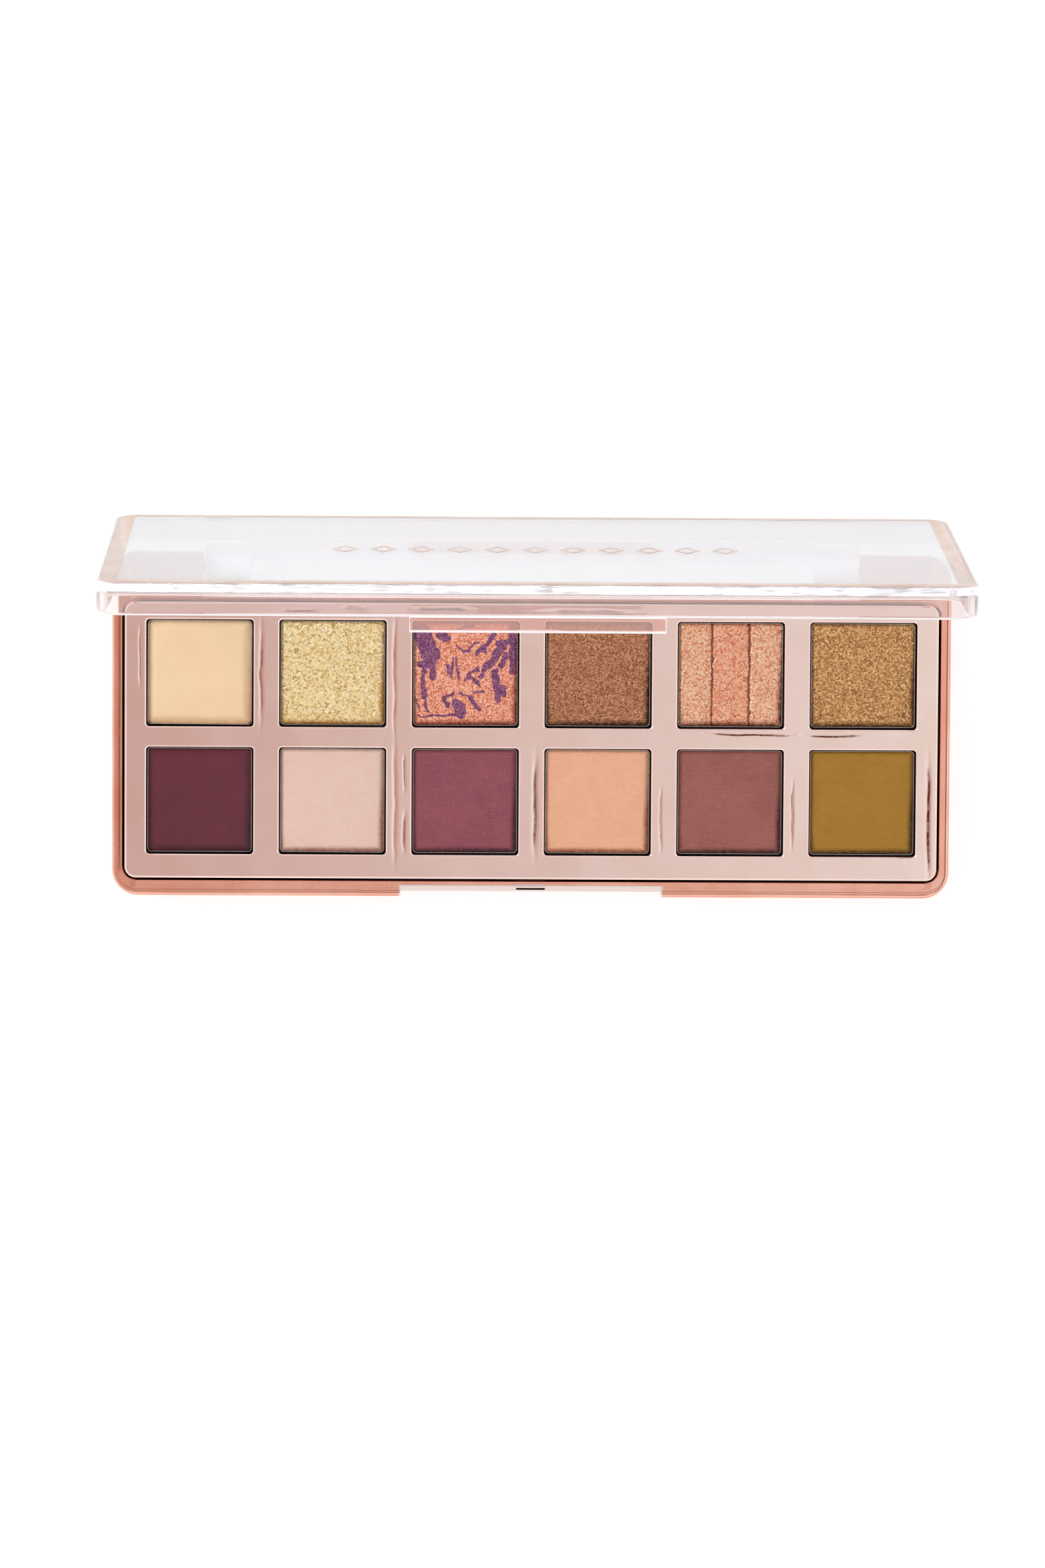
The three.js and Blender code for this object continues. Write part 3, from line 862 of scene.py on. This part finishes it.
def lattice_noise(x, y, size, seed):
    """Smooth value noise between -1 and 1 with features of one size."""
    table = np.random.default_rng(seed).uniform(-1, 1, (64, 64))
    u, v = x / size + 31, y / size + 31
    i, j = np.floor(u).astype(int), np.floor(v).astype(int)
    s, t = u - i, v - j
    s, t = s * s * (3 - 2 * s), t * t * (3 - 2 * t)
    def at(a, b):
        return table[a % 64, b % 64]
    low = at(i, j) * (1 - s) + at(i + 1, j) * s
    high = at(i, j + 1) * (1 - s) + at(i + 1, j + 1) * s
    return low * (1 - t) + high * t


def facets(x, y, size, tilt, seed):
    """Heights of a surface of small flat flakes, each with its own lean and level."""
    rng = np.random.default_rng(seed)
    shape = (128, 128)
    jitter = rng.uniform(0.1, 0.9, (2, *shape))
    lean = rng.uniform(-tilt, tilt, (2, *shape))
    level = rng.uniform(-0.4, 0.4, shape) * size * tilt
    i, j = np.floor(x / size).astype(int) + 64, np.floor(y / size).astype(int) + 64
    best = np.full(x.shape, np.inf)
    height = np.zeros(x.shape)
    for di in (-1, 0, 1):
        for dj in (-1, 0, 1):
            a, b = (i + di) % 128, (j + dj) % 128
            dx = x - (i + di - 64 + jitter[0, a, b]) * size
            dy = y - (j + dj - 64 + jitter[1, a, b]) * size
            distance = dx * dx + dy * dy
            nearer = distance < best
            best = np.where(nearer, distance, best)
            height = np.where(nearer, lean[0, a, b] * dx + lean[1, a, b] * dy + level[a, b], height)
    return height


def cake(number, relief, edge, turn, patterns):
    """A cake: a fine grid with rounded edges and the relief of its shade, over a plain block.

    Its points carry how near the edge they are, weighted towards the front and right as painted
    shade, and any patterns that the shade's colours follow.
    """
    low, high = box_mm(CAKE_NODES[number])
    pan_low, pan_high = box_mm(f"pan_{number}")
    half = (pan_high.x - pan_low.x) / 2 - PAN_RIM - 0.02
    centre = (low + high) / 2
    width, drop, corner = edge
    lines = edge_grid(half)
    count = len(lines)
    x, y = np.meshgrid(lines, lines, indexing="ij")
    straight = half - corner
    over_x, over_y = (np.maximum(np.abs(way) - straight, 0) for way in (x, y))
    reach = np.hypot(over_x, over_y)
    pull = np.where(reach > 0, np.maximum(over_x, over_y) / np.maximum(reach, 1e-9), 1.0)
    both = (over_x > 0) & (over_y > 0)
    px = np.where(both, np.sign(x) * (straight + over_x * pull), x)
    py = np.where(both, np.sign(y) * (straight + over_y * pull), y)
    side = np.minimum(half - np.abs(x), half - np.abs(y))
    share = np.clip(1 - side / width, 0, 1)
    fold = drop * share**1.6
    z = high.z - 0.06 - fold + relief(px, py, side)
    wear = 0.06 * lattice_noise(px, py, 0.8, int(number)) * share
    z = np.minimum(z + wear, high.z + 0.1)
    # the painted edge shade is heavier towards the front and right, the sides turned from the key light
    lean = np.clip((0.6 * px - 1.3 * py) / half, 0, 1)
    near = np.clip(1 - side / EDGE_SHADE_WIDTH, 0, 1)
    fields = {"edge": near * (0.15 + 0.85 * lean)} | {key: make(px, py) for key, make in patterns.items()}
    mesh = bmesh.new()
    for key in fields:
        mesh.verts.layers.float.new(key)
    span = range(count)
    grid = [[mesh.verts.new((px[i, j], py[i, j], z[i, j])) for j in span] for i in span]
    for key, values in fields.items():
        layer = mesh.verts.layers.float[key]
        for i in span:
            for j in span:
                grid[i][j][layer] = values[i, j]
    for i in range(count - 1):
        for j in range(count - 1):
            mesh.faces.new((grid[i][j], grid[i + 1][j], grid[i + 1][j + 1], grid[i][j + 1]))
    last = count - 1
    rim = [grid[i][0] for i in range(last)] + [grid[last][j] for j in range(last)]
    rim += [grid[i][last] for i in range(last, 0, -1)] + [grid[0][j] for j in range(last, 0, -1)]
    foot = [mesh.verts.new((v.co.x * 0.985, v.co.y * 0.985, low.z)) for v in rim]
    for i, top in enumerate(rim):
        j = (i + 1) % len(rim)
        mesh.faces.new((foot[i], foot[j], rim[j], top))
    mesh.faces.new(list(reversed(foot)))
    return turned_at(object_from(f"powder_{number}", mesh), centre.x, centre.y, turn)


def smooth_relief(seed, depth=0.006):
    def relief(x, y, side):
        dome = 0.05 * (1 - np.clip(np.hypot(x, y) / 12, 0, 1) ** 2)
        return dome - 0.03 + depth * lattice_noise(x, y, 3.5, seed)
    return relief


def pressed_relief(seed, depth=0.012):
    def relief(x, y, side):
        grain = lattice_noise(x, y, 0.33, seed) + 0.5 * lattice_noise(x, y, 1.7, seed + 50)
        chips = np.minimum(0, lattice_noise(x, y, 0.5, seed + 90) + 0.15) * (side < 0.5)
        return depth * grain + 0.1 * chips - 0.01
    return relief


def glitter_relief(seed, size, tilt, rough=0.02):
    def relief(x, y, side):
        return facets(x, y, size, tilt, seed) + rough * lattice_noise(x, y, 0.9, seed + 20) - 0.03
    return relief


def stripe_distance(x, y):
    """How far a place is outside the middle stripe, whose sides wander a little."""
    wander = 0.14 * lattice_noise(x, y, 0.8, 57) + 0.08 * lattice_noise(x, y, 0.35, 58)
    return np.abs(x) + wander - STRIPE_HALF


def stripe_groove(x, y):
    return np.exp(-((stripe_distance(x, y) / 0.26) ** 2))


def striped_relief(seed, size, tilt):
    base = glitter_relief(seed, size, tilt)
    def relief(x, y, side):
        away = stripe_distance(x, y)
        crown = 0.16 * np.minimum(np.maximum(away, 0) / 1.2, 1) - 0.1
        return base(x, y, side) + crown - 0.32 * stripe_groove(x, y)
    return relief


def marbling(x, y):
    """About 1 inside the darker shade's brush strokes, and about 0 outside them."""
    def warped(start, seed):
        return start + 0.35 * lattice_noise(x, y, 1.3, seed) + 0.15 * lattice_noise(x, y, 0.5, seed + 2)
    wx, wy = warped(x, 31), warped(y, 32)
    inside = np.full(x.shape, -2.0)
    for x0, y0, x1, y1, half in MARBLE_STROKES:
        dx, dy = x1 - x0, y1 - y0
        along = np.clip(((wx - x0) * dx + (wy - y0) * dy) / (dx**2 + dy**2), 0, 1)
        away = np.hypot(wx - x0 - along * dx, wy - y0 - along * dy)
        inside = np.maximum(inside, half - away)
    return np.clip(0.5 + inside / 0.5, 0, 1)


# ---- lid, drawn closed about the hinge axis ----


def lid():
    """The clear lid: a shallow tray with a tab and catch in front, and a web and lugs behind."""
    ceiling = LID_TOP - LID_PANEL
    steps = 20
    inner, lower, upper = 0.8, 0.7, 0.5
    fillet = [(LID_WALL + i, z) for i, z in reversed(rounding(inner, ceiling - inner, ceiling, 6))]
    rim = [(LID_WALL, LID_RIM + 0.15), (LID_WALL - 0.12, LID_RIM)]
    rim += list(reversed(rounding(lower, LID_RIM + lower, LID_RIM, 6)))
    top = rounding(upper, LID_TOP - upper, LID_TOP, 6)
    rings = [ring(LID_BOX, LID_CORNER, inset, z, steps) for inset, z in fillet + rim + top]
    shell = loft("lid_shell", rings)
    half = BAY_HALF - RUNNING_GAP
    web = block(-half + 1, half - 1, LID_BACK - LID_WALL, LID_BACK - 0.02, 1.1, LID_RIM + 1)
    added = [web, *tab()]
    bores = []
    for side in (-1, 1):
        x0, x1 = sorted((side * half, side * (half - LUG_LENGTH)))
        added.append(prism_x(circle(0, 0, LUG_RADIUS, 48), x0, x1))
        added.append(block(x0 + 0.01, x1 - 0.01, -1.6, LID_BACK - 0.2, 0, ceiling + 0.4))
        bores.append(prism_x(circle(0, 0, LUG_BORE, 32), x0 - 2, x1 + 2))
    return softened(combine(shell, added, bores), 0.12)


def tab():
    face = -LID_REACH + 0.1
    foot = LID_RIM - TAB_DROP
    inner = face + TAB_THICK
    above = LID_RIM + 1.2
    skirt = [(face, above), (face, foot + 0.3), (face + 0.3, foot), (inner, foot), (inner, above)]
    catch = [(inner - 0.2, above), (inner - 0.2, foot), (inner + 0.3, foot), (inner + 0.3, above)]
    bead = [(inner, foot + 0.8), (inner, foot + 0.1), (inner + 0.6, foot + 0.45)]
    return [
        prism_x(skirt, -TAB_HALF, TAB_HALF),
        prism_x(catch, -CATCH_HALF, CATCH_HALF),
        prism_x(bead, -BEAD_HALF, BEAD_HALF),
    ]


def stamp(mesh, outer, inner, nearest):
    """A thin closed band of foil between two (x, y) loops. nearest is each outer point's inner one."""
    foot = LID_TOP + FOIL_LIFT
    levels = []
    for z in (foot, foot + FOIL_THICK):
        levels.append([[mesh.verts.new((x, y, z)) for x, y in loop] for loop in (outer, inner)])
    (low_out, low_in), (high_out, high_in) = levels
    for i, a in enumerate(nearest):
        j = (i + 1) % len(outer)
        b = nearest[j]
        faces = [
            (high_out[i], high_out[j], high_in[b], high_in[a]),
            (low_in[a], low_in[b], low_out[j], low_out[i]),
            (low_out[i], low_out[j], high_out[j], high_out[i]),
        ]
        if a != b:
            faces.append((high_in[a], high_in[b], low_in[b], low_in[a]))
        for face in faces:
            mesh.faces.new(tuple(dict.fromkeys(face)))


def foil_frame():
    """The stamped border on the lid's outer face, with square inner corners."""
    edge, side, back = 0.55, 3.2, 2.2
    steps = 16
    outer = [(x, y) for x, y, _ in ring(LID_BOX, LID_CORNER, edge, 0, steps)]
    x1 = LID_HALF - side - edge
    y0, y1 = -LID_REACH + side, LID_BACK - back
    inner = [(x1, y0), (x1, y1), (-x1, y1), (-x1, y0)]
    mesh = bmesh.new()
    stamp(mesh, outer, inner, [corner for corner in range(4) for _ in range(steps + 1)])
    return object_from("lid_foil_border", mesh)


def foil_ornament():
    """A plain row of slim lozenges stamped across the middle of the lid."""
    count = 11
    pitch = 7.0
    half_width, half_height, stroke = 2.5, 3.1, 0.95
    middle = (LID_BACK - LID_REACH) / 2
    mesh = bmesh.new()
    for n in range(count):
        cx = (n - (count - 1) / 2) * pitch
        loops = []
        for shrink in (1.0, 1.0 - stroke / half_width):
            w, h = half_width * shrink, half_height * shrink
            loops.append([(cx + w, middle), (cx, middle + h), (cx - w, middle), (cx, middle - h)])
        stamp(mesh, *loops, range(4))
    return object_from("lid_foil_ornament", mesh)


def opened(obj):
    """Turns a lid piece drawn closed about the hinge axis to its rest angle."""
    place = Matrix.Translation(AXIS * MM) @ Matrix.Rotation(-REST_ANGLE, 4, "X")
    obj.data.transform(place)
    return obj


# ---- putting it together ----


def place(obj, body, slot, material, *nodes):
    """Gives a piece its material and body, and hides the CAD nodes it replaces. slot is not used."""
    obj.data.materials.clear()
    obj.data.materials.append(material)
    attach(obj, body)
    if nodes:
        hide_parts(*nodes)
    return obj


def tones(*colours):
    """Deep, middle and bright tones of a shimmer."""
    return tuple(rgb(*colour) for colour in colours)


def shades():
    """Each shade's material, relief, (width, drop, corner) of its edge and patterns, back row first."""
    copper = tones((172, 82, 58), (230, 146, 116), (239, 193, 167))
    violet = tones((79, 37, 70), (114, 61, 95), (157, 102, 137))
    rose = tones((186, 107, 74), (228, 167, 131), (230, 209, 178))
    amber = tones((184, 98, 67), (226, 152, 119), (230, 191, 159))
    gold = tones((170, 135, 70), (217, 192, 134), (225, 214, 182))
    bronze = tones((96, 53, 30), (164, 105, 72), (217, 165, 126))
    antique = tones((115, 67, 31), (189, 136, 85), (230, 196, 135))
    brown = (rgb(142, 98, 44), 0.14)
    umber = (rgb(104, 58, 34), 0.08)
    pillow = (1.8, 0.55, 0.95)
    pressed = (0.85, 0.55, 0.5)
    grainy = (0.75, 0.5, 0.6)
    plain = {}
    stripes = {"pattern": stripe_distance, "groove": stripe_groove}
    # for each shade, the first colour after its tones is its rim: shade painted along its edges
    beige = cream("cream_beige", rgb(213, 185, 148), rgb(209, 179, 143), rgb(205, 157, 110), 0.6)
    burgundy = cream("burgundy_cream", rgb(88, 26, 41), rgb(80, 22, 37), rgb(48, 11, 22), 0.5)
    pale = matte("pale_pink", rgb(208, 181, 167), rgb(195, 163, 149), rgb(163, 110, 94))
    plum = matte(
        "plum_sparkle", rgb(138, 74, 84), rgb(110, 55, 65), rgb(62, 23, 33), rgb(178, 124, 132), 0.02
    )
    peach = matte("peach_matte", rgb(214, 164, 134), rgb(199, 147, 114), rgb(156, 87, 55))
    mauve = matte(
        "mauve_brown", rgb(147, 90, 83), rgb(123, 70, 64), rgb(63, 27, 25), rgb(181, 134, 107), 0.01
    )
    olive = matte("olive_mustard", rgb(155, 114, 37), rgb(134, 94, 24), rgb(67, 39, 7))
    glitter = shimmer("gold_glitter", gold, rgb(173, 120, 48), 0.36, 0.45, 0.25, brown)
    marble = marbled("marbled_plum_peach", copper, violet, rgb(150, 67, 46), 0.24, 0.4)
    bronzed = shimmer("bronze_shimmer", bronze, rgb(66, 35, 18), 0.23, 0.4, 0.6)
    ribbon = striped("three_stripe_copper", rose, amber, rgb(112, 47, 31), 0.27, 0.36)
    aged = shimmer("antique_gold", antique, rgb(99, 55, 18), 0.27, 0.45, 0.6, umber)
    made = {
        "01": (beige, smooth_relief(1), pillow, plain),
        "02": (glitter, glitter_relief(2, 0.34, 0.26), grainy, plain),
        "03": (marble, glitter_relief(3, 0.3, 0.16), grainy, {"pattern": marbling}),
        "04": (bronzed, glitter_relief(4, 0.27, 0.16), grainy, plain),
        "05": (ribbon, striped_relief(5, 0.3, 0.2), grainy, stripes),
        "06": (aged, glitter_relief(6, 0.3, 0.22), grainy, plain),
        "07": (burgundy, smooth_relief(7), pillow, plain),
    }
    for number, material in zip(NUMBERS[7:], (pale, plum, peach, mauve, olive)):
        made[number] = (material, pressed_relief(int(number)), pressed, plain)
    return made


def build_base():
    rose, salmon = rgb(240, 210, 200), rgb(230, 170, 150)
    deep_salmon, deep_rose = rgb(222, 156, 134), rgb(236, 204, 192)
    # the colours of the painted shade: brown in the casing's pocket and catch groove, dark in the insert's
    # wells
    brown, dark = rgb(84, 34, 28), rgb(34, 22, 20)
    casing_skin = metallised("metallised_casing", salmon, deep_salmon, casing_painted_shade, brown, thin=in_recess)
    # below this height the insert's window walls are painted near-black as shade
    shaded_below = INSERT_HIGH.z - 0.75
    def insert_painted_shade(m):
        return below(m, shaded_below)
    insert_skin = metallised("metallised_insert", rose, deep_rose, insert_painted_shade, dark, sinks=True)
    place(casing(), "base", "metallised_casing", casing_skin, "base_casing")
    place(insert(), "base", "metallised_insert", insert_skin, "insert_frame")
    tin = pressed_tin()
    rng = np.random.default_rng(3)
    made_of = shades()
    for number in NUMBERS:
        low, high = box_mm(f"pan_{number}")
        centre = (low + high) / 2
        turn = math.radians(rng.uniform(-0.25, 0.25))
        cup = pan(number, centre.x, centre.y, turn)
        place(cup, "base", "pan_tinplate", tin, f"pan_{number}")
        material, relief, edge, patterns = made_of[number]
        node = CAKE_NODES[number]
        made = cake(number, relief, edge, turn, patterns)
        place(made, "base", "powder_" + node[8:], material, node)


def build_lid():
    clear = clear_plastic()
    stamped = foil()
    place(opened(lid()), "lid", "clear_plastic", clear, "clear_lid")
    place(opened(foil_frame()), "lid", "foil_print", stamped)
    place(opened(foil_ornament()), "lid", "foil_print", stamped)


def dress_cad_nodes():
    """Materials for the small CAD pieces that stay as they are."""
    glue, steel, paper = hot_melt(), ground_steel(), label_paper()
    dressed = {"hinge_pin_left": steel, "hinge_pin_right": steel, "underside_label": paper}
    dressed |= {f"pan_glue_{number}": glue for number in NUMBERS}
    for node, material in dressed.items():
        obj = frame["nodes"][node]
        obj.data.materials.clear()
        obj.data.materials.append(material)


# ---- studio ----


# a hair under the casing, because two surfaces at one height show through each other
FLOOR_LEVEL = -0.02 * MM
FLOOR_HALF = 4.0

# the places, in metres along X, between which a card's light grows
GLOW_FROM, GLOW_TO = -0.2, 0.3


def sheet(name, corners, height, material):
    """A flat sheet through four corners."""
    data = bpy.data.meshes.new(name)
    data.from_pydata(corners, [], [(0, 1, 2, 3)])
    data.materials.append(material)
    obj = linked(name, data)
    obj.location.z = height


def floor():
    """A pale light table, which keeps shadows faint."""
    m = Material("floor_paper")
    m.set(Base_Color=rgb(160, 160, 160), Roughness=m.span(m.noise(30, 3), 0.3, 0.7, 0.8, 0.95))
    m.set(Emission_Color=(1, 1, 1, 1), Emission_Strength=0.75)
    corners = [(-1, -1), (1, -1), (1, 1), (-1, 1)]
    sheet("floor", [(x * FLOOR_HALF, y * FLOOR_HALF, FLOOR_LEVEL) for x, y in corners], 0, m.data)


def panel(name, low, high, height, material):
    """A flat rectangle facing down over the object."""
    (x0, y0), (x1, y1) = low, high
    sheet(name, [(x0, y0, 0), (x0, y1, 0), (x1, y1, 0), (x1, y0, 0)], height, material)


def glow(name, dim, bright):
    """Light that grows along X from a dim tone to a bright one."""
    m = Material(name)
    colour = m.mix(m.span(m.along(0), GLOW_FROM, GLOW_TO), dim, bright)
    m.tree.nodes.remove(m.shader)
    m.feed(m.surface, m.add("ShaderNodeEmission", {"Color": colour, "Strength": 1.0}).outputs[0])
    return m.data


def overhead():
    """Glowing cards over the camera, and narrow dark battens that draw thin lines in the plating."""
    height = 1.25
    left, right, front, back = -0.42, 0.45, -0.2, 0.6
    cards = {
        "overhead_card": ((left, front), (right, back), (0.67, 0.53, 0.52), (1.0, 1.11, 1.13)),
        "warm_left": ((left - 0.2, front), (left, back), (0.79, 0.46, 0.37), (0.79, 0.46, 0.37)),
        "pale_left": ((-1.5, front), (left - 0.24, back), (0.75, 0.76, 0.73), (0.75, 0.76, 0.73)),
        "pale_right": ((right, front), (1.0, back), (1.1, 1.1, 1.15), (1.05, 1.0, 1.0)),
        "near_front": ((-1.5, -0.36), (1.0, front), (0.87, 0.76, 0.72), (1.05, 1.15, 1.18)),
        "pale_front": ((-1.5, -0.8), (1.0, -0.4), (0.87, 0.76, 0.72), (1.05, 1.1, 1.12)),
        "far_front": ((-1.5, -1.5), (1.0, -0.88), (0.85, 0.76, 0.72), (0.95, 0.9, 0.88)),
    }
    for name, (low, high, dim, bright) in cards.items():
        panel(name, low, high, height, glow(name + "_glow", (*dim, 1), (*bright, 1)))
    m = Material("batten_cloth")
    m.set(Base_Color=rgb(84, 50, 46), Roughness=m.span(m.noise(40, 3), 0.3, 0.7, 0.8, 1.0))
    panel("batten_left", (left - 0.24, front), (left - 0.2, back), height, m.data)
    panel("batten_right", (1.0, -1.5), (1.12, back), height, m.data)
    panel("batten_front", (-1.5, -0.4), (1.0, -0.36), height, m.data)
    panel("batten_far", (-1.5, -0.88), (1.0, -0.8), height, m.data)


def area(name, place_at, aim, size, power):
    """A rectangular lamp of a size in metres and a power in watts."""
    data = bpy.data.lights.new(name, "AREA")
    data.shape = "RECTANGLE"
    data.size, data.size_y = size
    data.energy = power
    obj = linked(name, data)
    obj.location = place_at
    obj.rotation_euler = (Vector(aim) - Vector(place_at)).to_track_quat("-Z", "Y").to_euler()
    return obj


def surroundings():
    """A soft world, brightest near the horizon."""
    world = bpy.data.worlds.new("soft_box")
    world.use_nodes = True
    w = Nodes(world.node_tree)
    upward = w.channel(w.add("ShaderNodeTexCoord").outputs["Generated"], "Z")
    background = w.tree.nodes["Background"]
    w.feed(background.inputs["Color"], (0.97, 0.98, 1.0, 1))
    w.feed(background.inputs["Strength"], w.span(upward, 0.25, 0.7, 1.2, 0.4))
    bpy.context.scene.world = world


def studio():
    scene = bpy.context.scene
    surroundings()
    floor()
    overhead()
    key = area("key", (-1.15, 0.65, 0.95), (0, 0, 0), (0.9, 0.8), 25)
    key.visible_glossy = False
    area("front_strip", (0.1, -1.4, 0.62), (0, 0, 0), (1.7, 0.07), 1.6)
    area("right_strip", (1.5, -0.2, 0.55), (0, 0, 0), (1.2, 0.07), 1.2)
    scene.view_settings.view_transform = "Standard"
    scene.cycles.glossy_bounces = 16
    scene.cycles.transmission_bounces = 24
    scene.cycles.max_bounces = 32


CAMERA_PLACE = (-0.01777, 0.04851, 0.97679)
CAMERA_TURN_DEG = (-3.487, -0.930, 0.347)
CAMERA_LENS = 117.2


def camera():
    """The photo's camera: nearly overhead, a little towards the hinge."""
    data = bpy.data.cameras.new("camera")
    data.lens = CAMERA_LENS
    data.clip_end = 10
    obj = linked("camera", data)
    obj.location = CAMERA_PLACE
    obj.rotation_euler = [math.radians(angle) for angle in CAMERA_TURN_DEG]
    bpy.context.scene.camera = obj


camera()
studio()
build_base()
build_lid()
dress_cad_nodes()
